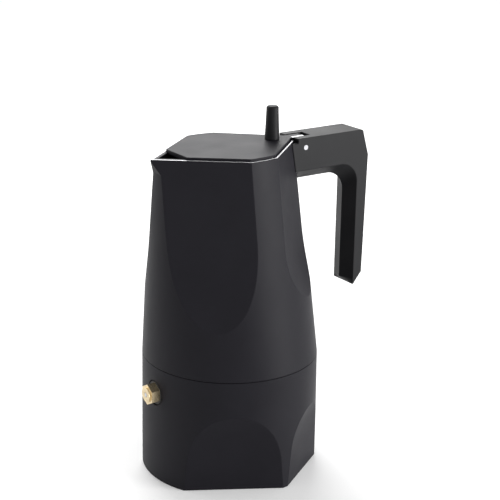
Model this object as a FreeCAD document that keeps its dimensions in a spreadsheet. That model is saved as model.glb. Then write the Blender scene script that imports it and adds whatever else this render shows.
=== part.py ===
import FreeCAD, Part
import math
import os
import re

import Sketcher
from FreeCAD import Placement, Rotation, Vector

# A faceted stove-top moka pot in black cast aluminium.
# Origin: centre of the boiler's underside. +Z is up, the handle points to +X, the spout to -X,
# and the XZ plane is the plane of symmetry.
doc = FreeCAD.newDocument("MokaPot")
sheet = doc.addObject("Spreadsheet::Sheet", "Size")

# Driving dimensions, in millimetres and degrees.
SIZES = {
    # boiler
    "seam_radius": 42.5,
    "foot_flare": 0.5,
    "foot_radius": "=seam_radius + foot_flare",
    "boiler_height": 57.5,
    "boiler_floor": 3.0,
    "boiler_wall": 2.8,
    "waist_height": 34.0,
    "waist_radius": 35.0,
    "belly_height": 44.0,
    "belly_radius": 38.5,
    "shoulder_drop": 2.5,
    "foot_lean": 2.3,
    "foot_bend": 70.0,
    "foot_front_turn": 119.8,
    "foot_front_reach": 35.9,
    "foot_front_flat": 14.0,
    "foot_rear_turn": 57.4,
    "foot_rear_reach": 38.9,
    "foot_rear_flat": 18.0,
    "neck_radius": 36.0,
    "neck_height": 9.5,
    "neck_wall": 2.8,
    # safety valve, along its own axis outwards from the spot face on the boiler
    "valve_height": 44.3,
    "spot_depth": 0.9,
    "valve_seat": "=seam_radius - spot_depth",
    "spot_radius": 6.2,
    "washer_radius": 5.6,
    "washer_thickness": 0.8,
    "hex_across": 9.0,
    "hex_length": 4.2,
    "nose_radius": 3.5,
    "nose_length": 0.8,
    "shank_radius": 4.0,
    "shank_length": 6.0,
    "shank_clearance": 0.05,
    "port_radius": 1.5,
    "port_length": 1.4,
    "chamber_radius": 2.7,
    "retainer_thickness": 2.0,
    "retainer_bore": 1.2,
    "plunger_head": 2.5,
    "plunger_length": 1.5,
    "stem_rod": 1.0,
    "spring_radius": 1.85,
    "spring_wire": 0.3,
    "spring_turns": 6,
    "valve_play": 0.1,
    # coffee funnel and its sieve
    "flange_radius": 35.7,
    "flange_thickness": 1.0,
    "basket_radius": 30.0,
    "basket_wall": 0.9,
    "basket_depth": 17.0,
    "sieve_thickness": 0.8,
    "sieve_ledge": 1.6,
    "cone_height": 12.0,
    "stem_radius": 4.2,
    "stem_wall": 0.9,
    "stem_clear": 4.0,
    # gasket and filter plate
    "gasket_bore": 27.5,
    "gasket_thickness": 3.0,
    "filter_thickness": 0.8,
    "hole_radius": 0.8,
    "hole_spacing": 8.0,
    "hole_rings": 3,
    "seat_clearance": 0.2,
    # collector
    "seam_gap": 0.3,
    "thread_clearance": 0.35,
    "rim_height": 158.0,
    "rim_half_length": 36.5,
    "rim_half_width": 28.2,
    "rim_shift": 3.8,
    "collector_wall": 2.5,
    "collector_floor": 2.5,
    "passage_rise": 2.5,
    "passage_radius": 27.0,
    "front_facet_turn": 128.3,
    "front_facet_reach": 27.0,
    "front_facet_lean": 5.9,
    "front_facet_flat": 121.4,
    "front_facet_bend": 159.0,
    "rear_facet_turn": 48.5,
    "rear_facet_reach": 24.8,
    "rear_facet_lean": 7.0,
    "rear_facet_flat": 116.0,
    "rear_facet_bend": 80.0,
    "bend_sweep": 45.0,
    "keel_slope": 1.9,
    "beak_lip": 0.8,
    "beak_depth": 13.0,
    # riser column
    "riser_foot": 5.0,
    "riser_bore": 3.0,
    "riser_collar": 7.0,
    "collar_thickness": 1.5,
    "riser_tip": 4.2,
    "riser_top": 126.0,
    "riser_round": 1.4,
    "riser_crown": 2.0,
    "outlet_width": 3.6,
    "outlet_height": 5.0,
    # lid, knob and hinge
    "rim_lip": 1.4,
    "lid_clearance": 0.35,
    "ledge_depth": 0.8,
    "lid_thickness": 2.0,
    "lid_front": 30.0,
    "hinge_place": 37.4,
    "hinge_height": 154.8,
    "pin_radius": 1.2,
    "pin_clearance": 0.05,
    "barrel_radius": 2.8,
    "tongue_width": 6.0,
    "tongue_clearance": 0.4,
    "swing_clearance": 1.0,
    "knob_place": 22.9,
    "knob_base": 3.5,
    "knob_tip": 2.9,
    "knob_height": 16.0,
    "knob_round": 0.6,
    "screw_radius": 1.5,
    "screw_depth": 8.0,
    "screw_head": 3.0,
    "screw_head_height": 1.6,
    "lock_washer": 0.6,
    "press_clearance": 0.02,
    # handle and its lug
    "handle_top": 159.5,
    "handle_width": 15.5,
    "handle_root": 24.0,
    "handle_reach": 75.8,
    "handle_bend": 146.5,
    "handle_top_reach": 72.4,
    "handle_corner": 1.5,
    "arm_depth": 16.0,
    "arm_ridge": 5.5,
    "grip_ridge": 2.9,
    "grip_tip_reach": 74.4,
    "grip_tip_height": 85.8,
    "grip_end_reach": 69.4,
    "grip_end_height": 79.6,
    "grip_inner_reach": 69.3,
    "grip_corner": 10.0,
    "lug_width": 7.0,
    "lug_end": 46.0,
    "lug_low": 144.9,
    "lug_height": 5.0,
    "lug_clearance": 0.15,
    "handle_screw_place": 41.0,
    "handle_screw_radius": 1.75,
    "handle_screw_head": 3.2,
    "handle_screw_head_height": 2.2,
    "handle_screw_length": 6.5,
    "handle_screw_sink": 3.0,
    # cutting blocks only need to be larger than the pot
    "block_size": 300.0,
}
for row, (alias, value) in enumerate(SIZES.items(), start=1):
    sheet.set(f"A{row}", alias)
    sheet.set(f"B{row}", str(value))
    sheet.setAlias(f"B{row}", alias)
doc.recompute()

# Heights and lengths that several pieces share, as sums of the driving dimensions.
NECK_TOP = "(boiler_height + neck_height)"
FLANGE_TOP = f"({NECK_TOP} + flange_thickness)"
GASKET_TOP = f"({FLANGE_TOP} + gasket_thickness)"
SEAL_TOP = f"({GASKET_TOP} + filter_thickness)"
PASSAGE_TOP = f"({SEAL_TOP} + passage_rise)"
CHAMBER_FLOOR = f"({PASSAGE_TOP} + collector_floor)"
SKIRT_BORE = "(neck_radius + thread_clearance)"
SEAM_LEVEL = "(boiler_height + seam_gap)"
LID_LOW = "(rim_height - ledge_depth)"
LID_TOP = f"({LID_LOW} + lid_thickness)"
SPOUT_TIP = "(front_facet_reach / cos(180 - front_facet_turn))"
ARM_LOW = "(handle_top - arm_depth)"
SIEVE_LEVEL = f"({NECK_TOP} + flange_thickness - basket_depth)"


def bound(expression):
    """The expression with each size's name pointing at its cell of the sheet."""
    return re.sub(r"\b[a-z]+(?:_[a-z]+)+\b", r"Size.\g<0>", expression)


def number(expression):
    """The present value of an expression over the sheet."""
    return float(sheet.evalExpression(bound(expression)))


PLACES = {"x": "Placement.Base.x", "y": "Placement.Base.y", "z": "Placement.Base.z"}
AXIS_TURNS = {
    "x": Rotation(Vector(0, 1, 0), 90),
    "-x": Rotation(Vector(0, 1, 0), -90),
    "y": Rotation(Vector(1, 0, 0), -90),
    "z": Rotation(),
}


def place(item, along="z", **places):
    """Turn an item's Z axis along a main axis and bind its position."""
    item.Placement = Placement(Vector(), AXIS_TURNS[along])
    for axis, expression in places.items():
        item.setExpression(PLACES[axis], bound(expression))
    return item


def primitive(kind, name, along="z", x="0", y="0", z="0", **sizes):
    """A Part primitive whose sizes and place are bound to the sheet."""
    item = doc.addObject("Part::" + kind, name)
    for prop, expression in sizes.items():
        item.setExpression(prop, bound(expression))
    return place(item, along, x=x, y=y, z=z)


def block(name, x, y, z):
    """A box from three pairs of limits."""
    item = doc.addObject("Part::Box", name)
    for prop, axis, (low, high) in (("Length", "x", x), ("Width", "y", y), ("Height", "z", z)):
        item.setExpression(prop, bound(f"({high}) - ({low})"))
        item.setExpression(PLACES[axis], bound(low))
    return item


def fused(name, *items):
    """The items joined into one solid."""
    item = doc.addObject("Part::MultiFuse", name)
    item.Shapes = list(items)
    return item


def cut(name, base, *tools):
    """The base less every tool, one after another."""
    for count, tool in enumerate(tools, start=1):
        item = doc.addObject("Part::Cut", name if count == len(tools) else f"{name}Step{count}")
        item.Base = base
        item.Tool = tool
        item.Refine = False
        base = item
    return base


def drawn(body, name, corners, offset="0"):
    """A closed outline on the body's XZ plane, moved along Y by offset.

    Each corner is (across, up), reached by a line, or (across, up, centre across, centre up),
    reached by an arc about that centre. Every value is bound to the sheet.
    """
    sketch = body.newObject("Sketcher::SketchObject", name)
    plane = next(item for item in body.Origin.OriginFeatures if item.Role == "XZ_Plane")
    sketch.AttachmentSupport = [(plane, "")]
    sketch.MapMode = "FlatFace"
    sketch.setExpression("AttachmentOffset.Base.z", bound(offset))
    points = [Vector(number(corner[0]), number(corner[1]), 0) for corner in corners]
    count = len(points)
    heads = []
    for index in range(count):
        start = points[index]
        end = points[(index + 1) % count]
        target = corners[(index + 1) % count]
        if len(target) == 2:
            sketch.addGeometry(Part.LineSegment(start, end), False)
            heads.append(1)
            continue
        centre = Vector(number(target[2]), number(target[3]), 0)
        anticlockwise = (start - centre).cross(end - centre).z > 0
        first, last = (start, end) if anticlockwise else (end, start)
        circle = Part.Circle(centre, Vector(0, 0, 1), (start - centre).Length)
        bearings = [math.atan2(*reversed((spot - centre)[:2])) for spot in (first, last)]
        sketch.addGeometry(Part.ArcOfCircle(circle, *bearings), False)
        heads.append(1 if anticlockwise else 2)
    for index in range(count):
        following = (index + 1) % count
        joined = Sketcher.Constraint("Coincident", index, 3 - heads[index], following, heads[following])
        sketch.addConstraint(joined)

    def hold(kind, axis, geometry, spot, expression):
        if expression == "0":
            sketch.addConstraint(Sketcher.Constraint("PointOnObject", geometry, spot, axis))
            return
        dimension = Sketcher.Constraint(kind, -1, 1, geometry, spot, number(expression))
        sketch.setExpression(f"Constraints[{sketch.addConstraint(dimension)}]", bound(expression))

    for index, corner in enumerate(corners):
        hold("DistanceX", -2, index, heads[index], corner[0])
        hold("DistanceY", -1, index, heads[index], corner[1])
        if len(corner) > 2:
            hold("DistanceX", -2, (index - 1) % count, 3, corner[2])
    return sketch


def turned(name, corners):
    """A body turned about Z from a closed outline of (radius, height) corners."""
    body = doc.addObject("PartDesign::Body", name)
    outline = drawn(body, name + "Outline", corners)
    turn = body.newObject("PartDesign::Revolution", name + "Turn")
    turn.Profile = outline
    turn.ReferenceAxis = (outline, ["V_Axis"])
    turn.Angle = 360
    return body


def facet_pair(name, turn, reach, level, lean):
    """Two mirrored blocks whose inner faces are flats on the pot.

    A flat's normal points turn degrees from +X, it stands reach from the axis at the level,
    and its top leans outwards by lean degrees.
    """
    item = doc.addObject("Part::Box", name)
    for prop in ("Length", "Width", "Height"):
        item.setExpression(prop, "Size.block_size")
    at_level = f"placement(vector(({reach}) * cos({turn}); ({reach}) * sin({turn}); {level});"
    leaning = f"rotation({turn}; {lean}; 0))"
    centred = "placement(vector(0; -block_size / 2; -block_size / 2); rotation(0; 0; 0))"
    item.setExpression("Placement", bound(f"{at_level} {leaning} * {centred}"))
    mirrored = doc.addObject("Part::Mirroring", name + "Mirrored")
    mirrored.Source = item
    mirrored.Normal = Vector(0, 1, 0)
    return [item, mirrored]


def flat_pair(name, turn, reach, start, lean, end, bend, way, lead="0"):
    """Two mirrored cutters for flats that run out in a curve at one end.

    Seen from the side, a flat starts reach from the axis at the start level, leans outwards to the
    end level and then bends away outwards. The way is 1 for a flat that runs out upwards and -1 for
    one that runs out downwards, and lead carries the cutter past the start.
    """
    body = doc.addObject("PartDesign::Body", name)
    join = f"(({reach}) + ({way}) * (({end}) - ({start})) * tan({lean}))"
    centre = f"({join} + ({bend}) * cos({lean}))"
    centre_level = f"(({end}) - ({way}) * ({bend}) * sin({lean}))"
    leave = f"({centre} - ({bend}) * cos({lean} + bend_sweep))"
    leave_level = f"({centre_level} + ({way}) * ({bend}) * sin({lean} + bend_sweep))"
    far = "block_size / 2"
    corners = [
        (reach, start),
        (join, end),
        (leave, leave_level, centre, centre_level),
        (far, leave_level),
    ]
    if lead == "0":
        corners.append((far, start))
    else:
        past = f"({start}) - ({way}) * ({lead})"
        corners += [(far, past), (reach, past)]
    pad = body.newObject("PartDesign::Pad", name + "Pad")
    pad.Profile = drawn(body, name + "Outline", corners)
    pad.SideType = "Symmetric"
    pad.setExpression("Length", bound("4 * seam_radius"))
    body.setExpression("Placement", bound(f"placement(vector(0; 0; 0); rotation({turn}; 0; 0))"))
    mirrored = doc.addObject("Part::Mirroring", name + "Mirrored")
    mirrored.Source = body
    mirrored.Normal = Vector(0, 1, 0)
    return [body, mirrored]


def drilled(name, disc, level, thickness):
    """A disc with hexagonal rings of small holes."""
    hole = primitive(
        "Cylinder",
        name + "Hole",
        z=f"{level} - {thickness}",
        Radius="hole_radius",
        Height=f"3 * ({thickness})",
    )
    doc.recompute()
    spacing = number("hole_spacing")
    rings = int(number("hole_rings"))
    holes = doc.addObject("Part::Feature", name + "Holes")
    copies = []
    for column in range(-rings, rings + 1):
        for line in range(-rings, rings + 1):
            if abs(column + line) > rings:
                continue
            copy = hole.Shape.copy()
            copy.translate(Vector(spacing * (column + line / 2), spacing * line * math.sqrt(3) / 2, 0))
            copies.append(copy)
    holes.Shape = Part.makeCompound(copies)
    return cut(name, disc, holes)


# Boiler: a heavy cast cup with four flats cut into its foot and a threaded neck.
boiler_cup = turned(
    "BoilerCup",
    [
        ("0", "0"),
        ("foot_radius", "0"),
        ("seam_radius", "boiler_height"),
        ("neck_radius", "boiler_height"),
        ("neck_radius", NECK_TOP),
        ("neck_radius - neck_wall", NECK_TOP),
        ("neck_radius - neck_wall", "boiler_height - shoulder_drop"),
        ("belly_radius", "belly_height"),
        ("waist_radius", "waist_height"),
        ("foot_front_reach - boiler_wall", "boiler_floor"),
        ("0", "boiler_floor"),
    ],
)
foot_flats = []
for side in ("front", "rear"):
    foot_flats += flat_pair(
        "Foot" + side.title(),
        f"foot_{side}_turn",
        f"foot_{side}_reach",
        "0",
        "foot_lean",
        f"foot_{side}_flat",
        "foot_bend",
        "1",
    )
valve_hole = primitive(
    "Cylinder",
    "ValveHole",
    along="-x",
    z="valve_height",
    Radius="shank_radius + shank_clearance",
    Height="block_size",
)
spot_face = primitive(
    "Cylinder",
    "SpotFace",
    along="-x",
    x="-valve_seat",
    z="valve_height",
    Radius="spot_radius",
    Height="block_size",
)
boiler = cut("Boiler", boiler_cup, *foot_flats, valve_hole, spot_face)

# Safety valve: a brass hexagon screwed through the wall, with a sprung plunger on its inner port.
VALVE_AXIS = {"along": "-x", "x": "-valve_seat", "z": "valve_height"}
HEX_START = "washer_thickness"
HEX_END = f"({HEX_START} + hex_length)"
NOSE_END = f"({HEX_END} + nose_length)"
SHANK_END = "(washer_thickness - shank_length - boiler_wall)"
SEAT_DEPTH = f"({SHANK_END} + port_length)"
RETAINER_START = f"({NOSE_END} - retainer_thickness)"


def valve_item(kind, name, start, length, **sizes):
    """A primitive on the valve's axis, from start over a length outwards."""
    return primitive(
        kind, name, along="-x", x=f"-valve_seat - ({start})", z="valve_height", Height=length, **sizes
    )


washer_disc = valve_item("Cylinder", "WasherDisc", "0", "washer_thickness", Radius="washer_radius")
washer_bore = valve_item(
    "Cylinder", "WasherBore", "-1", "washer_thickness + 2", Radius="shank_radius + shank_clearance"
)
valve_washer = cut("ValveWasher", washer_disc, washer_bore)
hexagon = valve_item(
    "Prism", "ValveHexagon", HEX_START, "hex_length", Circumradius="hex_across / 2 / cos(30)"
)
hexagon.Polygon = 6
nose = valve_item("Cylinder", "ValveNose", HEX_END, "nose_length", Radius="nose_radius")
shank = valve_item(
    "Cylinder", "ValveShank", SHANK_END, f"{HEX_START} - {SHANK_END}", Radius="shank_radius"
)
port = valve_item("Cylinder", "ValvePort", f"{SHANK_END} - 1", "port_length + 2", Radius="port_radius")
chamber = valve_item(
    "Cylinder", "ValveChamber", SEAT_DEPTH, f"{NOSE_END} - {SEAT_DEPTH} + 1", Radius="chamber_radius"
)
valve_body = cut("ValveBody", fused("ValveBlank", hexagon, nose, shank), port, chamber)
retainer_ring = valve_item(
    "Cylinder",
    "RetainerRing",
    RETAINER_START,
    "retainer_thickness",
    Radius="chamber_radius - press_clearance",
)
retainer_hole = valve_item(
    "Cylinder", "RetainerHole", f"{RETAINER_START} - 1", "retainer_thickness + 2", Radius="retainer_bore"
)
valve_retainer = cut("ValveRetainer", retainer_ring, retainer_hole)
PLUNGER_FACE = f"({SEAT_DEPTH} + plunger_length)"
plunger_head = valve_item(
    "Cylinder", "PlungerHead", SEAT_DEPTH, "plunger_length", Radius="plunger_head"
)
plunger_stem = valve_item(
    "Cylinder", "PlungerStem", PLUNGER_FACE, f"{NOSE_END} - {PLUNGER_FACE}", Radius="stem_rod"
)
valve_plunger = fused("ValvePlunger", plunger_head, plunger_stem)


def biarc(start, start_way, end, end_way):
    """Two arcs from start to end that leave and arrive along the given unit directions."""
    chord = end - start
    ways = start_way + end_way
    turn = 2 * (1 - start_way.dot(end_way))
    along = chord.dot(ways)
    reach = (math.sqrt(along * along + turn * chord.dot(chord)) - along) / turn
    first = start + start_way * reach
    last = end - end_way * reach
    middle = (first + last) * 0.5
    arcs = []
    for one, corner, other in ((start, first, middle), (middle, last, end)):
        half = (other - one).Length / 2
        centre = (one + other) * 0.5
        bend = math.acos(min(1.0, half / (corner - one).Length))
        crown = centre + (corner - centre).normalize() * half * math.tan(bend / 2)
        arcs.append(Part.Arc(one, crown, other).toShape())
    return arcs


def coil(name, radius, wire, low, high, turns):
    """An open coil about Z: one round wire swept along biarcs of a quarter turn."""
    quarters = 4 * turns
    rise = (high - low) / quarters
    pitch_way = rise / (math.pi / 2)

    def spot(step):
        angle = step * math.pi / 2
        return Vector(radius * math.cos(angle), radius * math.sin(angle), low + rise * step)

    def way(step):
        angle = step * math.pi / 2
        return Vector(-radius * math.sin(angle), radius * math.cos(angle), pitch_way).normalize()

    edges = []
    for step in range(quarters):
        edges += biarc(spot(step), way(step), spot(step + 1), way(step + 1))
    path = Part.Wire(edges)
    section = Part.Wire([Part.makeCircle(wire, spot(0), way(0))])
    item = doc.addObject("Part::Feature", name)
    item.Shape = path.makePipeShell([section], True, False)
    samples = path.discretize(Number=quarters * 12)
    per_turn = 48
    gap = min(
        (samples[one] - samples[other]).Length
        for one in range(len(samples))
        for other in range(one + per_turn // 2, len(samples))
    )
    print(f"{name}: least gap between turns {gap - 2 * wire:.2f} mm")
    return item


spring_low = number(f"{PLUNGER_FACE} + spring_wire + valve_play")
spring_high = number(f"{RETAINER_START} - spring_wire - valve_play")
valve_spring = coil(
    "ValveSpring",
    number("spring_radius"),
    number("spring_wire"),
    spring_low,
    spring_high,
    int(number("spring_turns")),
)
place(valve_spring, **VALVE_AXIS)

# Funnel: a thin spun cup that hangs in the boiler's neck by its flange, with a long stem.
CONE_TOP = f"({SIEVE_LEVEL} - sieve_ledge)"
CONE_LOW = f"({CONE_TOP} - cone_height)"
BASKET_BORE = "(basket_radius - basket_wall)"
STEM_BORE = "(stem_radius - stem_wall)"
funnel = turned(
    "Funnel",
    [
        (STEM_BORE, "boiler_floor + stem_clear"),
        ("stem_radius", "boiler_floor + stem_clear"),
        ("stem_radius", CONE_LOW),
        ("basket_radius", CONE_TOP),
        ("basket_radius", NECK_TOP),
        ("flange_radius", NECK_TOP),
        ("flange_radius", FLANGE_TOP),
        (BASKET_BORE, FLANGE_TOP),
        (BASKET_BORE, SIEVE_LEVEL),
        (f"{BASKET_BORE} - sieve_ledge", SIEVE_LEVEL),
        (f"{BASKET_BORE} - sieve_ledge", CONE_TOP),
        (STEM_BORE, f"{CONE_LOW} + basket_wall"),
    ],
)
sieve_disc = primitive(
    "Cylinder",
    "SieveDisc",
    z=SIEVE_LEVEL,
    Radius=f"{BASKET_BORE} - press_clearance",
    Height="sieve_thickness",
)
funnel_sieve = drilled("FunnelSieve", sieve_disc, SIEVE_LEVEL, "sieve_thickness")

# Gasket and filter plate: they lie in the collector's skirt, on top of the funnel's flange.
gasket = turned(
    "Gasket",
    [
        ("gasket_bore", FLANGE_TOP),
        (f"{SKIRT_BORE} - seat_clearance", FLANGE_TOP),
        (f"{SKIRT_BORE} - seat_clearance", GASKET_TOP),
        ("gasket_bore", GASKET_TOP),
    ],
)
filter_disc = primitive(
    "Cylinder",
    "FilterDisc",
    z=GASKET_TOP,
    Radius=f"{SKIRT_BORE} - seat_clearance",
    Height="filter_thickness",
)
filter_plate = drilled("FilterPlate", filter_disc, GASKET_TOP, "filter_thickness")


def skin(name, inset):
    """The collector's smooth form: a loft from the round seam to the oval rim, less an inset."""
    ring = primitive("Circle", name + "Seam", z=SEAM_LEVEL, Radius=f"seam_radius - ({inset})")
    rim = primitive(
        "Ellipse",
        name + "Rim",
        x="-rim_shift",
        z="rim_height",
        MajorRadius=f"rim_half_length - ({inset})",
        MinorRadius=f"rim_half_width - ({inset})",
    )
    loft = doc.addObject("Part::Loft", name)
    loft.Sections = [ring, rim]
    loft.Solid = True
    return loft


def beak(name, inset):
    """The spout's wedge under the rim, drawn towards +X and turned round to the spout's side."""
    body = doc.addObject("PartDesign::Body", name)
    tip = f"{SPOUT_TIP} - ({inset})"
    back = f"{SPOUT_TIP} - beak_depth - ({inset})"
    outline = drawn(
        body,
        name + "Outline",
        [
            (back, "rim_height"),
            (tip, "rim_height"),
            (tip, "rim_height - beak_lip"),
            (back, "rim_height - beak_lip - beak_depth * keel_slope"),
        ],
    )
    pad = body.newObject("PartDesign::Pad", name + "Pad")
    pad.Profile = outline
    pad.SideType = "Symmetric"
    pad.setExpression("Length", bound("2 * seam_radius"))
    body.Placement = Placement(Vector(), Rotation(Vector(0, 0, 1), 180))
    return body


def wall_flats(name, inset):
    """The four flats of the collector, moved inwards by the inset."""
    flats = []
    for side in ("front", "rear"):
        flats += flat_pair(
            name + side.title(),
            f"{side}_facet_turn",
            f"{side}_facet_reach - ({inset})",
            "rim_height",
            f"{side}_facet_lean",
            f"{side}_facet_flat",
            f"{side}_facet_bend + ({inset})",
            "-1",
            "lid_thickness",
        )
    return flats


def plate(name, margin, low, high):
    """A flat plate with the rim's outline less a margin, cut straight across at the spout."""
    oval = primitive(
        "Ellipse",
        name + "Oval",
        x="-rim_shift",
        z=low,
        MajorRadius=f"rim_half_length - ({margin})",
        MinorRadius=f"rim_half_width - ({margin})",
    )
    slab = doc.addObject("Part::Extrusion", name + "Slab")
    slab.Base = oval
    slab.DirMode = "Custom"
    slab.Dir = Vector(0, 0, 1)
    slab.Solid = True
    slab.setExpression("LengthFwd", bound(f"({high}) - ({low})"))
    sides = facet_pair(name + "Front", "front_facet_turn", f"front_facet_reach - ({margin})", low, "0")
    sides += facet_pair(name + "Rear", "rear_facet_turn", f"rear_facet_reach - ({margin})", low, "0")
    nose_block = block(
        name + "Nose",
        ("-block_size", f"({margin}) - rim_lip - lid_front"),
        ("-block_size / 2", "block_size / 2"),
        (f"{low} - block_size / 2", f"{high} + block_size / 2"),
    )
    return cut(name, slab, *sides, nose_block)


# Collector: the cast upper pot, round at the seam and six-sided at the rim, with a beaked spout,
# a threaded skirt below its floor and a lug for the handle.
LUG_HIGH = "(lug_low + lug_height)"
outer = cut(
    "CollectorOuter",
    fused("CollectorForm", skin("OuterSkin", "0"), beak("OuterBeak", "0")),
    *wall_flats("OuterFlat", "0"),
)
lug = block(
    "HandleLug",
    ("rim_half_length - rim_shift - collector_wall", "lug_end"),
    ("-lug_width / 2", "lug_width / 2"),
    ("lug_low", LUG_HIGH),
)
floor_block = block(
    "FloorBlock",
    ("-block_size / 2", "block_size / 2"),
    ("-block_size / 2", "block_size / 2"),
    ("0", CHAMBER_FLOOR),
)
hollow = cut(
    "CollectorHollow",
    fused("HollowForm", skin("InnerSkin", "collector_wall"), beak("InnerBeak", "collector_wall")),
    *wall_flats("InnerFlat", "collector_wall"),
    floor_block,
)
lid_ledge = plate("LidLedge", "rim_lip - lid_clearance", LID_LOW, "rim_height + ledge_depth")
skirt_bore = primitive("Cylinder", "SkirtBore", Radius=SKIRT_BORE, Height=SEAL_TOP)
passage = primitive(
    "Cone", "BrewPassage", z=SEAL_TOP, Radius1="passage_radius", Radius2="riser_foot", Height="passage_rise"
)
riser_hole = primitive(
    "Cylinder", "RiserHole", z=SEAL_TOP, Radius="riser_foot + press_clearance", Height="3 * passage_rise"
)
hinge_notch = block(
    "HingeNotch",
    ("knob_place", "hinge_place"),
    ("-tongue_width / 2 - tongue_clearance", "tongue_width / 2 + tongue_clearance"),
    (f"{LID_LOW} - tongue_clearance", "rim_height + lid_thickness"),
)
lug_hole = primitive(
    "Cylinder",
    "LugHole",
    x="handle_screw_place",
    z="lug_low - lug_height",
    Radius="handle_screw_radius + press_clearance",
    Height="3 * lug_height",
)
collector = cut(
    "Collector",
    fused("CollectorCasting", outer, lug),
    skirt_bore,
    passage,
    riser_hole,
    lug_hole,
    hollow,
    lid_ledge,
    hinge_notch,
)

# Riser column: a tapered tube pressed into the floor, closed on top, with two side outlets.
COLLAR_TOP = f"({CHAMBER_FLOOR} + collar_thickness)"
riser_tube = turned(
    "RiserTube",
    [
        ("riser_bore", PASSAGE_TOP),
        ("riser_foot", PASSAGE_TOP),
        ("riser_foot", CHAMBER_FLOOR),
        ("riser_collar", CHAMBER_FLOOR),
        ("riser_collar", COLLAR_TOP),
        ("riser_foot", COLLAR_TOP),
        ("riser_tip", "riser_top - riser_round"),
        ("riser_tip - riser_round", "riser_top"),
        ("0", "riser_top"),
        ("0", "riser_top - riser_crown"),
        ("riser_bore", "riser_top - riser_crown"),
    ],
)
outlets = block(
    "RiserOutlets",
    ("-outlet_width / 2", "outlet_width / 2"),
    ("-seam_radius", "seam_radius"),
    ("riser_top - riser_crown - outlet_height", "riser_top - riser_crown"),
)
riser_column = cut("RiserColumn", riser_tube, outlets)

# Lid: a flat cast plate that drops inside the rim, with a hinge tongue and barrel at its tail.
lid_plate = plate("LidPlate", "rim_lip", LID_LOW, LID_TOP)
tongue = block(
    "LidTongue",
    ("knob_place", "hinge_place"),
    ("-tongue_width / 2", "tongue_width / 2"),
    (LID_LOW, LID_TOP),
)
barrel = primitive(
    "Cylinder",
    "LidBarrel",
    along="y",
    x="hinge_place",
    y="-tongue_width / 2",
    z="hinge_height",
    Radius="barrel_radius",
    Height="tongue_width",
)
barrel_bore = primitive(
    "Cylinder",
    "BarrelBore",
    along="y",
    x="hinge_place",
    y="-handle_width",
    z="hinge_height",
    Radius="pin_radius + pin_clearance",
    Height="2 * handle_width",
)
knob_hole = primitive(
    "Cylinder",
    "KnobHole",
    x="knob_place",
    z=f"{LID_LOW} - lid_thickness",
    Radius="screw_radius + press_clearance",
    Height="3 * lid_thickness",
)
web = block(
    "LidWeb",
    ("hinge_place - barrel_radius", "hinge_place + barrel_radius"),
    ("-tongue_width / 2", "tongue_width / 2"),
    ("hinge_height", LID_TOP),
)
lid = cut("Lid", fused("LidBlank", lid_plate, tongue, barrel, web), barrel_bore, knob_hole)

# Knob: a tapered plastic peg held from below by a screw with a lock washer.
knob = turned(
    "Knob",
    [
        ("screw_radius + press_clearance", LID_TOP),
        ("knob_base", LID_TOP),
        ("knob_tip", f"{LID_TOP} + knob_height - knob_round"),
        ("knob_tip - knob_round", f"{LID_TOP} + knob_height"),
        ("0", f"{LID_TOP} + knob_height"),
        ("0", f"{LID_TOP} + screw_depth + knob_round"),
        ("screw_radius + press_clearance", f"{LID_TOP} + screw_depth"),
    ],
)
place(knob, x="knob_place")
knob_screw = turned(
    "KnobScrew",
    [
        ("0", f"{LID_LOW} - lock_washer - screw_head_height"),
        ("screw_head", f"{LID_LOW} - lock_washer - screw_head_height"),
        ("screw_head", f"{LID_LOW} - lock_washer"),
        ("screw_radius", f"{LID_LOW} - lock_washer"),
        ("screw_radius", f"{LID_TOP} + screw_depth"),
        ("0", f"{LID_TOP} + screw_depth"),
    ],
)
place(knob_screw, x="knob_place")
knob_washer = turned(
    "KnobWasher",
    [
        ("screw_radius + pin_clearance", f"{LID_LOW} - lock_washer"),
        ("screw_head + lock_washer", f"{LID_LOW} - lock_washer"),
        ("screw_head + lock_washer", LID_LOW),
        ("screw_radius + pin_clearance", LID_LOW),
    ],
)
place(knob_washer, x="knob_place")

# Hinge pin: a steel rod through both cheeks of the handle, its ends flush with them.
hinge_pin = primitive(
    "Cylinder",
    "HingePin",
    along="y",
    x="hinge_place",
    y="-handle_width / 2",
    z="hinge_height",
    Radius="pin_radius",
    Height="handle_width",
)

# Handle: a moulded inverted L with a ridge along its inner side, slotted for the lid's barrel.
doc.recompute()
handle_body = doc.addObject("PartDesign::Body", "HandleBlank")


def handle_outline(name, offset, ridge):
    """The handle's side outline on a plane, its inner side standing out by the ridge."""
    shoulder = "handle_top_reach - handle_corner"
    inner = f"(grip_inner_reach - {ridge} * grip_ridge)"
    under = f"({ARM_LOW} - {ridge} * arm_ridge)"
    return drawn(
        handle_body,
        name,
        [
            ("handle_root", "handle_top"),
            (shoulder, "handle_top"),
            ("handle_top_reach", "handle_top - handle_corner", shoulder, "handle_top - handle_corner"),
            ("handle_reach", "handle_bend"),
            ("grip_tip_reach", "grip_tip_height"),
            ("grip_end_reach", "grip_end_height"),
            (f"{inner} - press_clearance", "grip_end_height + grip_ridge"),
            (inner, f"{under} - grip_corner"),
            (f"{inner} - grip_corner", under, f"{inner} - grip_corner", f"{under} - grip_corner"),
            ("handle_root", under),
        ],
        offset,
    )


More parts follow.
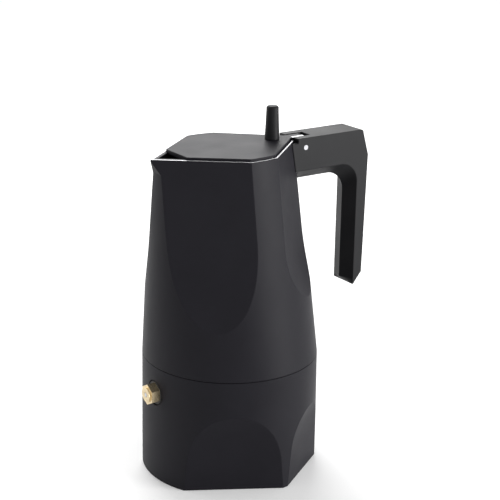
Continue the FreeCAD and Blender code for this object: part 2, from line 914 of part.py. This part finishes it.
handle_loft = handle_body.newObject("PartDesign::AdditiveLoft", "HandleLoft")
handle_loft.Profile = handle_outline("HandleNear", "handle_width / 2", "0")
handle_loft.Sections = [
    handle_outline("HandleRidge", "0", "1"),
    handle_outline("HandleFar", "-handle_width / 2", "0"),
]
handle_loft.Ruled = True
hinge_slot = block(
    "HingeSlot",
    ("handle_root", f"hinge_place + {LID_TOP} - hinge_height + 3 * tongue_clearance"),
    ("-tongue_width / 2 - tongue_clearance", "tongue_width / 2 + tongue_clearance"),
    ("hinge_height - barrel_radius - swing_clearance", "handle_top + lid_thickness"),
)
lug_pocket = block(
    "LugPocket",
    ("handle_root", "lug_end + lug_clearance"),
    ("-lug_width / 2 - lug_clearance", "lug_width / 2 + lug_clearance"),
    ("lug_low", f"{LUG_HIGH} + lug_clearance"),
)
pin_bore = primitive(
    "Cylinder",
    "PinBore",
    along="y",
    x="hinge_place",
    y="-handle_width",
    z="hinge_height",
    Radius="pin_radius + press_clearance",
    Height="2 * handle_width",
)
HEAD_SEAT = f"({ARM_LOW} - arm_ridge + handle_screw_sink + handle_screw_head_height)"
screw_hole = primitive(
    "Cylinder",
    "HandleScrewHole",
    x="handle_screw_place",
    z=f"{ARM_LOW} - arm_depth",
    Radius="handle_screw_radius + press_clearance",
    Height="2 * arm_depth",
)
screw_recess = primitive(
    "Cylinder",
    "HandleScrewRecess",
    x="handle_screw_place",
    z=f"{ARM_LOW} - arm_depth",
    Radius="handle_screw_head + tongue_clearance",
    Height=f"{HEAD_SEAT} - {ARM_LOW} + arm_depth",
)
root_relief = block(
    "RootRelief",
    ("0", "rim_half_length - rim_shift + lug_clearance"),
    ("-handle_width", "handle_width"),
    ("rim_height - ledge_depth", "rim_height + handle_width"),
)
handle_seat = cut(
    "HandleSeat", skin("SeatSkin", "-lug_clearance"), *wall_flats("SeatFlat", "-lug_clearance")
)
handle = cut(
    "Handle",
    handle_body,
    handle_seat,
    root_relief,
    hinge_slot,
    lug_pocket,
    pin_bore,
    screw_hole,
    screw_recess,
)
handle_screw = turned(
    "HandleScrew",
    [
        ("0", f"{HEAD_SEAT} - handle_screw_head_height"),
        ("handle_screw_head", f"{HEAD_SEAT} - handle_screw_head_height"),
        ("handle_screw_head", HEAD_SEAT),
        ("handle_screw_radius", HEAD_SEAT),
        ("handle_screw_radius", f"{HEAD_SEAT} + handle_screw_length"),
        ("0", f"{HEAD_SEAT} + handle_screw_length"),
    ],
)
place(handle_screw, x="handle_screw_place")

PIECES = {
    "boiler": boiler,
    "valve_body": valve_body,
    "valve_washer": valve_washer,
    "valve_plunger": valve_plunger,
    "valve_spring": valve_spring,
    "valve_retainer": valve_retainer,
    "funnel": funnel,
    "funnel_sieve": funnel_sieve,
    "gasket": gasket,
    "filter_plate": filter_plate,
    "collector": collector,
    "riser_column": riser_column,
    "lid": lid,
    "knob": knob,
    "knob_screw": knob_screw,
    "knob_washer": knob_washer,
    "hinge_pin": hinge_pin,
    "handle": handle,
    "handle_screw": handle_screw,
}
for label, piece in PIECES.items():
    piece.Label = label
doc.recompute()

for item in doc.Objects:
    if "Invalid" in item.State or "Error" in item.State:
        raise RuntimeError(f"{item.Name} failed: {item.State}")
for label, piece in PIECES.items():
    shape = piece.Shape
    if shape.isNull() or not shape.isValid():
        raise RuntimeError(f"{label} has no valid shape")
    if len(shape.Solids) != 1:
        raise RuntimeError(f"{label} is {len(shape.Solids)} solids, not one")

os.makedirs("parts", exist_ok=True)
for label, piece in PIECES.items():
    piece.Shape.exportStep(f"parts/{label}.step")
    box = piece.Shape.BoundBox
    spans = f"{box.XLength:.1f} x {box.YLength:.1f} x {box.ZLength:.1f} mm"
    print(f"{label}: {piece.Shape.Volume:.1f} mm3, {spans}")
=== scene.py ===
import bmesh
import bpy
import numpy as np
from mathutils import Matrix, Vector


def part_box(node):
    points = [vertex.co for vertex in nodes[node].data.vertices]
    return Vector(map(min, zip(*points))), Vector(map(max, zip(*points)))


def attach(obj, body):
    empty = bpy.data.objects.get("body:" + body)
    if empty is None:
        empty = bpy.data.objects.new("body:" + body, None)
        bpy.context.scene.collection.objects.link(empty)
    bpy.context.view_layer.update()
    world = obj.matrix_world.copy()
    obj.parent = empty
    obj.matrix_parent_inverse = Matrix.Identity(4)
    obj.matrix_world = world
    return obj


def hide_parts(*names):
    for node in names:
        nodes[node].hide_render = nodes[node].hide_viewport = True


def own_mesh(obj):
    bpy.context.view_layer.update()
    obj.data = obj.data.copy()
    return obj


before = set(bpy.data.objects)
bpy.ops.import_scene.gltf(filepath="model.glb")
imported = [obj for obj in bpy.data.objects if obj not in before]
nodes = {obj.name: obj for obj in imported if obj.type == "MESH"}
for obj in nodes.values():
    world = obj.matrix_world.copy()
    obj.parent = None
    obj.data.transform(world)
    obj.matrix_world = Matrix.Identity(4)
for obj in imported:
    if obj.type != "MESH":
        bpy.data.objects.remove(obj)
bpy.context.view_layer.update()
scene = bpy.context.scene


# Boiler: the heavy lower cup, cast in aluminium and sprayed with a matt black heat-proof coat.
# Four flats are cut into its foot, and the collector screws on to its bare neck.
def links(tree, *pairs):
    """Joins the sockets of each (from, to) pair in a node tree."""
    for source, target in pairs:
        tree.links.new(source, target)


def new_group(name, inputs, outputs):
    """An empty shader node group with named float inputs (name, value) and typed outputs."""
    group = bpy.data.node_groups.new(name, "ShaderNodeTree")
    for label, value in inputs:
        socket = group.interface.new_socket(label, in_out="INPUT", socket_type="NodeSocketFloat")
        socket.default_value = value
    for label, kind in outputs:
        group.interface.new_socket(label, in_out="OUTPUT", socket_type=kind)
    return group, group.nodes.new("NodeGroupInput"), group.nodes.new("NodeGroupOutput")


def sprayed_grain():
    """Fine orange peel over slow clouds: a height for the bump and a mask for colour and gloss."""
    group, inputs, outputs = new_group(
        "SprayedGrain",
        [("Grain per metre", 2600.0), ("Cloud per metre", 45.0)],
        [("Height", "NodeSocketFloat"), ("Cloud", "NodeSocketFloat")],
    )
    place = group.nodes.new("ShaderNodeTexCoord")
    grain = group.nodes.new("ShaderNodeTexNoise")
    grain.inputs["Detail"].default_value = 3.0
    grain.inputs["Roughness"].default_value = 0.6
    cloud = group.nodes.new("ShaderNodeTexNoise")
    cloud.inputs["Detail"].default_value = 5.0
    links(
        group,
        (place.outputs["Object"], grain.inputs["Vector"]),
        (place.outputs["Object"], cloud.inputs["Vector"]),
        (inputs.outputs["Grain per metre"], grain.inputs["Scale"]),
        (inputs.outputs["Cloud per metre"], cloud.inputs["Scale"]),
        (grain.outputs["Fac"], outputs.inputs["Height"]),
        (cloud.outputs["Fac"], outputs.inputs["Cloud"]),
    )
    return group


SPRAYED_GRAIN = sprayed_grain()


NOISE_LOW, NOISE_HIGH = 0.3, 0.7


def ramp(tree, factor, low, high):
    """A colour ramp from low to high colour over the band that noise fills, driven by a factor socket."""
    node = tree.nodes.new("ShaderNodeValToRGB")
    node.color_ramp.elements[0].position = NOISE_LOW
    node.color_ramp.elements[1].position = NOISE_HIGH
    node.color_ramp.elements[0].color = (*low, 1.0)
    node.color_ramp.elements[1].color = (*high, 1.0)
    tree.links.new(factor, node.inputs["Fac"])
    return node


def spread(tree, factor, low, high):
    """A value between low and high over the same band, driven by a factor socket."""
    node = tree.nodes.new("ShaderNodeMapRange")
    node.inputs["From Min"].default_value = NOISE_LOW
    node.inputs["From Max"].default_value = NOISE_HIGH
    node.inputs["To Min"].default_value = low
    node.inputs["To Max"].default_value = high
    tree.links.new(factor, node.inputs["Value"])
    return node.outputs["Result"]


def grained(name, low, high, gloss, grain, cloud, depth, specular, edge):
    """A sprayed or moulded finish: clouded colour and gloss, a fine grain in the bump, and edges
    that are rounded by the given radius."""
    material = bpy.data.materials.new(name)
    material.use_nodes = True
    tree = material.node_tree
    shader = tree.nodes["Principled BSDF"]
    shader.inputs["Specular IOR Level"].default_value = specular
    texture = tree.nodes.new("ShaderNodeGroup")
    texture.node_tree = SPRAYED_GRAIN
    texture.inputs["Grain per metre"].default_value = grain
    texture.inputs["Cloud per metre"].default_value = cloud
    rounded = tree.nodes.new("ShaderNodeBevel")
    rounded.samples = 6
    rounded.inputs["Radius"].default_value = edge
    bump = tree.nodes.new("ShaderNodeBump")
    bump.inputs["Strength"].default_value = 0.35
    bump.inputs["Distance"].default_value = depth
    links(
        tree,
        (rounded.outputs["Normal"], bump.inputs["Normal"]),
        (ramp(tree, texture.outputs["Cloud"], low, high).outputs["Color"], shader.inputs["Base Color"]),
        (spread(tree, texture.outputs["Cloud"], *gloss), shader.inputs["Roughness"]),
        (texture.outputs["Height"], bump.inputs["Height"]),
        (bump.outputs["Normal"], shader.inputs["Normal"]),
    )
    return material


def finish_node(node, material):
    """Puts a material on every slot of a CAD node."""
    mesh = nodes[node].data
    mesh.materials.clear()
    mesh.materials.append(material)


COAT = ((0.0092, 0.0086, 0.0118), (0.0114, 0.0108, 0.0144), (0.48, 0.56), 2600.0, 45.0, 0.00004, 0.12, 0.0006)
BOILER_COAT = grained("boiler_coat", *COAT)
finish_node("boiler", BOILER_COAT)


# Neck thread: the coarse rolled screw thread that the collector turns on, left as bare aluminium.
# It stands on the neck's plain cylinder, a little inside the clearance of the collector's skirt.
SHARP_ANGLE = np.radians(40)


def skin_mesh(name, points, closed=False):
    """A mesh from a grid of points (rows, columns, 3), whose faces look along rows x columns. A closed
    one joins its last column to its first, and each end row to the point in its middle."""
    if closed:
        ends = points[[0, -1]].mean(1, keepdims=True).repeat(points.shape[1], 1)
        points = np.concatenate([ends[:1], points, ends[1:]])
    rows, columns = points.shape[:2]
    index = np.arange(rows * columns).reshape(rows, columns)
    if closed:
        index = np.hstack([index, index[:, :1]])
    quads = np.stack([index[:-1, :-1], index[1:, :-1], index[1:, 1:], index[:-1, 1:]], -1)
    mesh = bpy.data.meshes.new(name)
    mesh.from_pydata(points.reshape(-1, 3), [], quads.reshape(-1, 4).tolist())
    if closed:
        shell = bmesh.new()
        shell.from_mesh(mesh)
        bmesh.ops.remove_doubles(shell, verts=shell.verts, dist=1e-8)
        shell.to_mesh(mesh)
        shell.free()
    mesh.polygons.foreach_set("use_smooth", np.ones(len(mesh.polygons), bool))
    mesh.set_sharp_from_angle(angle=SHARP_ANGLE)
    mesh.update()
    piece = bpy.data.objects.new(name, mesh)
    scene.collection.objects.link(piece)
    return piece


def machining_marks():
    """The fine lines that a tool or a drawing die leaves: noise pulled out along one axis."""
    group, inputs, outputs = new_group(
        "MachiningMarks",
        [("X per metre", 300.0), ("Y per metre", 300.0), ("Z per metre", 300.0)],
        [("Marks", "NodeSocketFloat")],
    )
    place = group.nodes.new("ShaderNodeTexCoord")
    scales = group.nodes.new("ShaderNodeCombineXYZ")
    pulled = group.nodes.new("ShaderNodeVectorMath")
    pulled.operation = "MULTIPLY"
    noise = group.nodes.new("ShaderNodeTexNoise")
    noise.inputs["Scale"].default_value = 1.0
    noise.inputs["Detail"].default_value = 6.0
    noise.inputs["Roughness"].default_value = 0.65
    links(
        group,
        (inputs.outputs["X per metre"], scales.inputs["X"]),
        (inputs.outputs["Y per metre"], scales.inputs["Y"]),
        (inputs.outputs["Z per metre"], scales.inputs["Z"]),
        (place.outputs["Object"], pulled.inputs[0]),
        (scales.outputs["Vector"], pulled.inputs[1]),
        (pulled.outputs["Vector"], noise.inputs["Vector"]),
        (noise.outputs["Fac"], outputs.inputs["Marks"]),
    )
    return group


MACHINING_MARKS = machining_marks()


def brushed_metal(name, low, high, gloss, scales, depth):
    """Bare metal with machining marks in its colour, gloss and bump, at the given scales."""
    material = bpy.data.materials.new(name)
    material.use_nodes = True
    tree = material.node_tree
    shader = tree.nodes["Principled BSDF"]
    shader.inputs["Metallic"].default_value = 1.0
    texture = tree.nodes.new("ShaderNodeGroup")
    texture.node_tree = MACHINING_MARKS
    for axis, scale in zip("XYZ", scales):
        texture.inputs[axis + " per metre"].default_value = scale
    marks = texture.outputs["Marks"]
    bump = tree.nodes.new("ShaderNodeBump")
    bump.inputs["Strength"].default_value = 0.25
    bump.inputs["Distance"].default_value = depth
    links(
        tree,
        (ramp(tree, marks, low, high).outputs["Color"], shader.inputs["Base Color"]),
        (spread(tree, marks, *gloss), shader.inputs["Roughness"]),
        (marks, bump.inputs["Height"]),
        (bump.outputs["Normal"], shader.inputs["Normal"]),
    )
    return material


BARE = ((0.58, 0.59, 0.60), (0.74, 0.75, 0.76), (0.26, 0.42), (300.0, 300.0, 5200.0))
BARE_ALUMINIUM = brushed_metal("bare_aluminium", *BARE, 0.00002)
NECK_SHOULDER = 0.0576
NECK_RADIUS = 0.0360
THREAD_PITCH = 0.0030
THREAD_CREST = 0.00024
ROOT_DEPTH = 0.0002


def thread(name, radius, crest, low, turns):
    """A helical ridge: the angle runs along it, and its height is a raised cosine that fades in and
    out over the first and last quarter turn. Its root lies a little below the neck's surface."""
    angle = np.linspace(0.0, 2 * np.pi * turns, int(96 * turns) + 1)[:, None]
    across = np.linspace(-0.5, 0.5, 9)[None, :]
    fade = np.clip(np.minimum(angle, angle[-1] - angle) / (np.pi / 2), 0.0, 1.0)
    rise = radius + crest * fade * (0.5 + 0.5 * np.cos(2 * np.pi * across))
    level = low + THREAD_PITCH * angle / (2 * np.pi) + 0.6 * THREAD_PITCH * across
    points = np.stack([rise * np.cos(angle), rise * np.sin(angle), level + 0 * rise], -1)
    root = points[:, [-1, 0]] * (1 - ROOT_DEPTH / radius, 1 - ROOT_DEPTH / radius, 1.0)
    return skin_mesh(name, np.concatenate([points, root], 1), closed=True)


INWARD_SLOPE = -0.3
UPWARD_SLOPE = 0.5


def bare_mask(tree, shoulder):
    """1 where the coat is masked off or machined away on a turned cup, else 0: on faces that look to
    the axis, on the floor inside the wall, and above the shoulder."""

    def worked(operation, first, second):
        """One step of arithmetic on sockets or plain numbers."""
        node = tree.nodes.new("ShaderNodeMath")
        node.operation = operation
        for socket, value in zip(node.inputs, (first, second)):
            if isinstance(value, float):
                socket.default_value = value
            else:
                tree.links.new(value, socket)
        return node.outputs[0]

    place = tree.nodes.new("ShaderNodeTexCoord")
    level = tree.nodes.new("ShaderNodeSeparateXYZ")
    slope = tree.nodes.new("ShaderNodeSeparateXYZ")
    flat = tree.nodes.new("ShaderNodeVectorMath")
    flat.operation = "MULTIPLY"
    flat.inputs[1].default_value = (1.0, 1.0, 0.0)
    reach = tree.nodes.new("ShaderNodeVectorMath")
    reach.operation = "LENGTH"
    way = tree.nodes.new("ShaderNodeVectorMath")
    way.operation = "NORMALIZE"
    outward = tree.nodes.new("ShaderNodeVectorMath")
    outward.operation = "DOT_PRODUCT"
    links(
        tree,
        (place.outputs["Object"], level.inputs[0]),
        (place.outputs["Normal"], slope.inputs[0]),
        (place.outputs["Object"], flat.inputs[0]),
        (flat.outputs["Vector"], reach.inputs[0]),
        (flat.outputs["Vector"], way.inputs[0]),
        (way.outputs["Vector"], outward.inputs[0]),
        (place.outputs["Normal"], outward.inputs[1]),
    )
    wall = worked("LESS_THAN", outward.outputs["Value"], INWARD_SLOPE)
    upward_face = worked("GREATER_THAN", slope.outputs["Z"], UPWARD_SLOPE)
    within = worked("LESS_THAN", reach.outputs["Value"], NECK_RADIUS)
    above = worked("GREATER_THAN", level.outputs["Z"], shoulder)
    floor_face = worked("MULTIPLY", upward_face, within)
    return worked("MAXIMUM", worked("MAXIMUM", wall, floor_face), above)


def bare_inside(material, low, high, gloss, scales, shoulder):
    """Shows bare metal with machining marks in place of a coat, where the mask of a cup is 1."""
    tree = material.node_tree
    shader = tree.nodes["Principled BSDF"]
    mask = bare_mask(tree, shoulder)
    texture = tree.nodes.new("ShaderNodeGroup")
    texture.node_tree = MACHINING_MARKS
    for axis, scale in zip("XYZ", scales):
        texture.inputs[axis + " per metre"].default_value = scale
    marks = texture.outputs["Marks"]
    finishes = {
        "Base Color": ("RGBA", ramp(tree, marks, low, high).outputs["Color"]),
        "Roughness": ("FLOAT", spread(tree, marks, *gloss)),
    }
    for socket, (kind, bare) in finishes.items():
        coat = shader.inputs[socket].links[0].from_socket
        mixed = tree.nodes.new("ShaderNodeMix")
        mixed.data_type = kind
        mixing = [one for one in mixed.inputs if one.enabled]
        shown = [one for one in mixed.outputs if one.enabled]
        links(tree, (mask, mixing[0]), (coat, mixing[1]), (bare, mixing[2]))
        tree.links.new(shown[0], shader.inputs[socket])
    tree.links.new(mask, shader.inputs["Metallic"])


bare_inside(BOILER_COAT, *BARE, NECK_SHOULDER)
neck_thread = thread("neck_thread", NECK_RADIUS, THREAD_CREST, 0.0600, 2.0)
neck_thread.data.materials.append(BARE_ALUMINIUM)
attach(neck_thread, "base")


# Safety valve: a turned brass hexagon with a sprung steel plunger, screwed through the boiler's wall
# on a thin black washer.
BRASS = brushed_metal(
    "turned_brass", (0.60, 0.48, 0.29), (0.80, 0.67, 0.45), (0.24, 0.38), (2600.0, 500.0, 500.0), 0.00001
)
STEEL = brushed_metal(
    "drawn_steel", (0.50, 0.50, 0.51), (0.68, 0.68, 0.69), (0.20, 0.34), (900.0, 3000.0, 900.0), 0.00001
)
BLACK_WASHER = grained(
    "black_washer",
    (0.020, 0.020, 0.020),
    (0.032, 0.032, 0.032),
    (0.6, 0.72),
    3800.0,
    160.0,
    0.00004,
    0.4,
    0.0002,
)
finish_node("valve_body", BRASS)
finish_node("valve_retainer", BRASS)
finish_node("valve_plunger", STEEL)
finish_node("valve_washer", BLACK_WASHER)


# Valve spring: hard-drawn steel wire, wound into an open coil between the plunger and the retainer.
# It is built as a fixed coil that fills the spring part's box and rides with the base.
SPRING_TURNS = 6
SPRING_WIRE = 0.0003


def coiled_wire(name, corners, wire, turns):
    """A round wire carried along a helix about X that fills the given box: rows run along the wire,
    and columns round its section, which stands square to the helix."""
    low, high = np.array(corners[0]), np.array(corners[1])
    radius = (high[1] - low[1]) / 2 - wire
    middle = (low + high) / 2
    angle = np.linspace(0.0, 2 * np.pi * turns, 40 * turns + 1)[:, None]
    around = np.linspace(0.0, 2 * np.pi, 13)[None, :-1]
    lead = (high[0] - low[0] - 2 * wire) / (2 * np.pi * turns)
    slant = np.hypot(radius, lead)
    out, beside = wire * np.cos(around), wire * np.sin(around) / slant
    along = low[0] + wire + lead * angle + beside * radius
    across = (radius + out) * np.cos(angle) + beside * lead * np.sin(angle)
    upward = (radius + out) * np.sin(angle) - beside * lead * np.cos(angle)
    return skin_mesh(name, np.stack([along, middle[1] + across, middle[2] + upward], -1), closed=True)


spring_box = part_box("valve_spring")
spring = coiled_wire("wound_spring", spring_box, SPRING_WIRE, SPRING_TURNS)
spring.data.materials.append(STEEL)
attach(spring, "base")
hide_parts("valve_spring")
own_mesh(spring)


# Funnel and its sieve: a thin spun aluminium cup with a long stem, and a punched disc pressed into it.
# The filter plate above is punched from the same sheet.
SPUN_ALUMINIUM = brushed_metal(
    "spun_aluminium", (0.62, 0.63, 0.64), (0.80, 0.81, 0.82), (0.22, 0.36), (250.0, 250.0, 3600.0), 0.00002
)
PUNCHED_ALUMINIUM = brushed_metal(
    "punched_aluminium", (0.60, 0.61, 0.62), (0.76, 0.77, 0.78), (0.30, 0.45), (180.0, 2400.0, 180.0), 0.00002
)
finish_node("funnel", SPUN_ALUMINIUM)
finish_node("funnel_sieve", PUNCHED_ALUMINIUM)
finish_node("filter_plate", PUNCHED_ALUMINIUM)


# Gasket: a soft off-white silicone ring, moulded in one piece.
# It is pressed between the collector and the funnel's flange, and seals them.
SILICONE = grained(
    "pale_silicone", (0.60, 0.57, 0.51), (0.70, 0.68, 0.62), (0.45, 0.6), 1500.0, 90.0, 0.00004, 0.5, 0.0004
)
finish_node("gasket", SILICONE)


# Collector: the upper pot, cast and coated like the boiler, with a bare turned riser column pressed
# into its floor. Its rim is faced after coating, so that a thin line of bright metal runs round it.
BLACK_COAT = grained("black_coat", *COAT)
finish_node("collector", BLACK_COAT)
finish_node("riser_column", SPUN_ALUMINIUM)
RIM_LEVEL = 0.1580
RIM_HALF_LENGTH = 0.0365
RIM_HALF_WIDTH = 0.0282
RIM_SHIFT = 0.0038
FRONT_TURN, FRONT_REACH = np.radians(128.3), 0.0270
REAR_TURN, REAR_REACH = np.radians(48.5), 0.0248


def rim_outline(bearing, inset):
    """The rim's outline less an inset, at bearings round the centre of its oval: the least distance
    to the oval and the flats, with the oval left out in front, where the flats meet in the spout."""
    way_x, way_y = np.cos(bearing), np.sin(bearing)
    oval = 1 / np.hypot(way_x / (RIM_HALF_LENGTH - inset), way_y / (RIM_HALF_WIDTH - inset))
    oval = np.where(np.abs(bearing) > np.radians(110), 1.0, oval)
    reaches = [oval]
    for turn, reach in ((FRONT_TURN, FRONT_REACH), (REAR_TURN, REAR_REACH)):
        for side in (1, -1):
            facing = way_x * np.cos(turn) + way_y * np.sin(turn) * side
            clear = reach - inset + RIM_SHIFT * np.cos(turn)
            reaches.append(np.where(facing > 1e-6, clear / np.maximum(facing, 1e-6), 1.0))
    distance = np.min(reaches, 0)
    return np.stack([distance * way_x - RIM_SHIFT, distance * way_y], -1)


HINGE_GAP = np.radians(5.4)
RIM_EDGE = 0.00006
RIM_WIDTH = 0.00068
STRIP_FILM = 0.00001
STRIP_CROWN = 0.00005


def rim_line():
    """The faced edge: a strip along the rim from one side of the hinge to the other, slightly
    crowned across its width."""
    bearing = np.linspace(HINGE_GAP, 2 * np.pi - HINGE_GAP, 721)
    bearing = np.where(bearing > np.pi, bearing - 2 * np.pi, bearing)
    across = np.linspace(0.0, 1.0, 5)
    strips = [rim_outline(bearing, RIM_EDGE + RIM_WIDTH * step) for step in across]
    crown = RIM_LEVEL + STRIP_FILM + STRIP_CROWN * np.sin(np.pi * across)
    levels = np.broadcast_to(crown[None, :, None], (len(bearing), 5, 1))
    points = np.concatenate([np.stack(strips, 1), levels], -1)
    root = points[:, [-1, 0]] - (0.0, 0.0, ROOT_DEPTH)
    return skin_mesh("rim_line", np.concatenate([points, root], 1), closed=True)


RIM_METAL = brushed_metal(
    "faced_rim", (0.40, 0.40, 0.41), (0.56, 0.56, 0.57), (0.34, 0.48), (2200.0, 2200.0, 400.0), 0.00001
)
rim_strip = rim_line()
rim_strip.data.materials.append(RIM_METAL)
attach(rim_strip, "upper_pot")


# Lid: a flat cast plate with the same black coat, hinged on the handle's pin.
# Its knob is a tapered peg of black plastic, held from below by a screw with a lock washer.
finish_node("lid", BLACK_COAT)
BLACK_PLASTIC = grained(
    "black_plastic",
    (0.0092, 0.0092, 0.0102),
    (0.0114, 0.0114, 0.0126),
    (0.46, 0.54),
    3400.0,
    60.0,
    0.00003,
    0.14,
    0.0006,
)
finish_node("knob", BLACK_PLASTIC)
finish_node("knob_screw", STEEL)
finish_node("knob_washer", STEEL)


# Tongue face: bare metal along one side of the lid's hinge tongue, where it is faced to run in the
# handle's slot and the coat is gone.
TONGUE_TOP = float(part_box("lid")[1][2])
TONGUE_START, TONGUE_END = 0.0332, 0.0400
TONGUE_SIDE = -0.0029
TONGUE_STRIP = 0.0021


def tongue_face():
    """A strip on the tongue's top, slightly crowned across its width."""
    along = np.linspace(TONGUE_START, TONGUE_END, 12)[:, None]
    share = np.linspace(0.0, 1.0, 5)[None, :]
    across = TONGUE_SIDE + TONGUE_STRIP * share
    level = TONGUE_TOP + STRIP_FILM + STRIP_CROWN * np.sin(np.pi * share)
    points = np.stack(np.broadcast_arrays(along, across, level), -1)
    root = points[:, [-1, 0]] - (0.0, 0.0, ROOT_DEPTH)
    return skin_mesh("tongue_face", np.concatenate([points, root], 1), closed=True)


tongue_strip = tongue_face()
tongue_strip.data.materials.append(RIM_METAL)
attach(tongue_strip, "cover")


# Handle: an inverted L moulded in black plastic, with a ridge along its inner side.
# It is slotted for the lid's barrel, and a screw from below holds it on the collector's lug.
finish_node("handle", BLACK_PLASTIC)
finish_node("handle_screw", STEEL)
# The hinge pin's steel is painted much darker than the screws' steel. This is painted shade that dims the
# lamp's highlight on the pin's end.
SHADED_PIN_STEEL = brushed_metal(
    "pin_steel_painted_shade", (0.20, 0.20, 0.21), (0.32, 0.32, 0.33), (0.42, 0.56), (2600.0, 900.0, 2600.0), 0.00001
)
finish_node("hinge_pin", SHADED_PIN_STEEL)


# Screw plug: a push-in cap moulded in the handle's plastic, which closes the recess below the screw.
# Its lower face carries the ridge of the arm across the hole.
SCREW_PLACE = 0.0410
PLUG_RADIUS = 0.00352
PLUG_TOP = 0.1408
RIDGE_LOW = 0.13802
RIDGE_SLOPE = 5.5 / 7.75
PLUG_TOP_EDGE, PLUG_LOW_EDGE = 0.0003, 0.0002


def screw_plug():
    """A closed skin from the middle of the flat top, over the side, to the middle of the ridged
    lower face: rows run along that path, columns round the axis."""
    angle = np.linspace(0.0, 2 * np.pi, 65)[None, :-1]
    reach = np.array([0.0, 0.5, 0.92, 1.0, 1.0, 0.97, 0.66, 0.33, 0.0])[:, None] * PLUG_RADIUS
    east, north = reach * np.cos(angle), reach * np.sin(angle)
    ridge = RIDGE_LOW + RIDGE_SLOPE * np.abs(north)
    level = np.where(np.arange(9)[:, None] < 3, PLUG_TOP, ridge)
    level[3] = PLUG_TOP - PLUG_TOP_EDGE
    level[4] += PLUG_LOW_EDGE
    points = np.stack([SCREW_PLACE + east, north, level], -1)
    return skin_mesh("screw_plug", points, closed=True)


plug = screw_plug()
plug.data.materials.append(BLACK_PLASTIC)
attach(plug, "upper_pot")


# Stage: a pale painted floor that runs to a white surround, which only the background's rays see.
# Three soft lamps light the pot, and the camera stands at the photograph's viewpoint.
FLOOR_HALF = 3.0
FLOOR_LEVEL = -0.0002


def stage_floor():
    """A square level sheet, just below the boiler's underside."""
    edge = np.linspace(-FLOOR_HALF, FLOOR_HALF, 9)
    across, along = np.meshgrid(edge, edge, indexing="ij")
    return skin_mesh("stage_floor", np.stack([across, along, 0 * across + FLOOR_LEVEL], -1))


floor = stage_floor()
floor_paint = bpy.data.materials.new("pale_floor")
floor_paint.use_nodes = True
floor_shader = floor_paint.node_tree.nodes["Principled BSDF"]
floor_shader.inputs["Base Color"].default_value = (0.88, 0.88, 0.88, 1.0)
floor_shader.inputs["Roughness"].default_value = 0.7
floor_shader.inputs["Specular IOR Level"].default_value = 0.1
floor_shader.inputs["Emission Color"].default_value = (1.0, 1.0, 1.0, 1.0)
floor.data.materials.append(floor_paint)


def background_rays(tree):
    """1 for the rays that show the background itself, from the camera, a metal or a glass, else 0."""
    light_path = tree.nodes.new("ShaderNodeLightPath")
    mirrored = tree.nodes.new("ShaderNodeMath")
    mirrored.operation = "MAXIMUM"
    seen = tree.nodes.new("ShaderNodeMath")
    seen.operation = "MAXIMUM"
    links(
        tree,
        (light_path.outputs["Is Glossy Ray"], mirrored.inputs[0]),
        (light_path.outputs["Is Transmission Ray"], mirrored.inputs[1]),
        (light_path.outputs["Is Camera Ray"], seen.inputs[0]),
        (mirrored.outputs[0], seen.inputs[1]),
    )
    return seen.outputs[0]


floor_tree = floor_paint.node_tree
floor_place = floor_tree.nodes.new("ShaderNodeTexCoord")
floor_distance = floor_tree.nodes.new("ShaderNodeVectorMath")
floor_distance.operation = "LENGTH"
floor_far = floor_tree.nodes.new("ShaderNodeMapRange")
floor_far.interpolation_type = "SMOOTHSTEP"
floor_far.inputs["From Min"].default_value = 0.10
floor_far.inputs["From Max"].default_value = 1.60
floor_far.inputs["To Min"].default_value = 0.18
floor_far.inputs["To Max"].default_value = 0.50
floor_lift = floor_tree.nodes.new("ShaderNodeMath")
floor_lift.operation = "MULTIPLY"
links(
    floor_tree,
    (floor_place.outputs["Object"], floor_distance.inputs[0]),
    (floor_distance.outputs["Value"], floor_far.inputs["Value"]),
    (background_rays(floor_tree), floor_lift.inputs[0]),
    (floor_far.outputs["Result"], floor_lift.inputs[1]),
    (floor_lift.outputs[0], floor_shader.inputs["Emission Strength"]),
)

world = bpy.data.worlds.new("white_surround")
scene.world = world
world.use_nodes = True
surround = world.node_tree
strength = surround.nodes.new("ShaderNodeMapRange")
strength.inputs["To Min"].default_value = 0.55
strength.inputs["To Max"].default_value = 1.0
background = surround.nodes["Background"]
background.inputs["Color"].default_value = (1.0, 1.0, 1.0, 1.0)
links(
    surround,
    (background_rays(surround), strength.inputs["Value"]),
    (strength.outputs["Result"], background.inputs["Strength"]),
)


POT_MIDDLE = Vector((0.0, 0.0, 0.09))


def soft_lamp(name, place, size, power):
    """A square area lamp that faces the middle of the pot."""
    lamp = bpy.data.lights.new(name, "AREA")
    lamp.size = size
    lamp.energy = power
    holder = bpy.data.objects.new(name, lamp)
    scene.collection.objects.link(holder)
    holder.location = place
    aim = POT_MIDDLE - Vector(place)
    holder.rotation_euler = aim.to_track_quat("-Z", "Y").to_euler()


soft_lamp("top_back_lamp", (0.35, 0.85, 0.85), 0.8, 12.0)
soft_lamp("right_lamp", (0.62, -0.87, 0.16), 0.5, 13.0)
soft_lamp("left_lamp", (-0.60, 0.85, 0.22), 0.5, 2.0)

SENSOR_WIDTH = 36.0
PICTURE_WIDTH = 500
FOCAL_PIXELS = 1329.32
VIEWPOINT = (-0.334826, -0.497887, 0.306791)
lens = bpy.data.cameras.new("photograph_view")
lens.sensor_width = SENSOR_WIDTH
lens.lens = SENSOR_WIDTH * FOCAL_PIXELS / PICTURE_WIDTH
lens.clip_start = 0.01
camera = bpy.data.objects.new("photograph_view", lens)
scene.collection.objects.link(camera)
right = Vector((0.82372, -0.56682, 0.01407))
upward = Vector((0.16726, 0.26663, 0.94917))
ahead = Vector((0.54176, 0.77950, -0.31444))
turn = Matrix((right, upward, -ahead)).transposed().to_4x4()
camera.matrix_world = Matrix.Translation(VIEWPOINT) @ turn
scene.camera = camera
scene.view_settings.view_transform = "Standard"
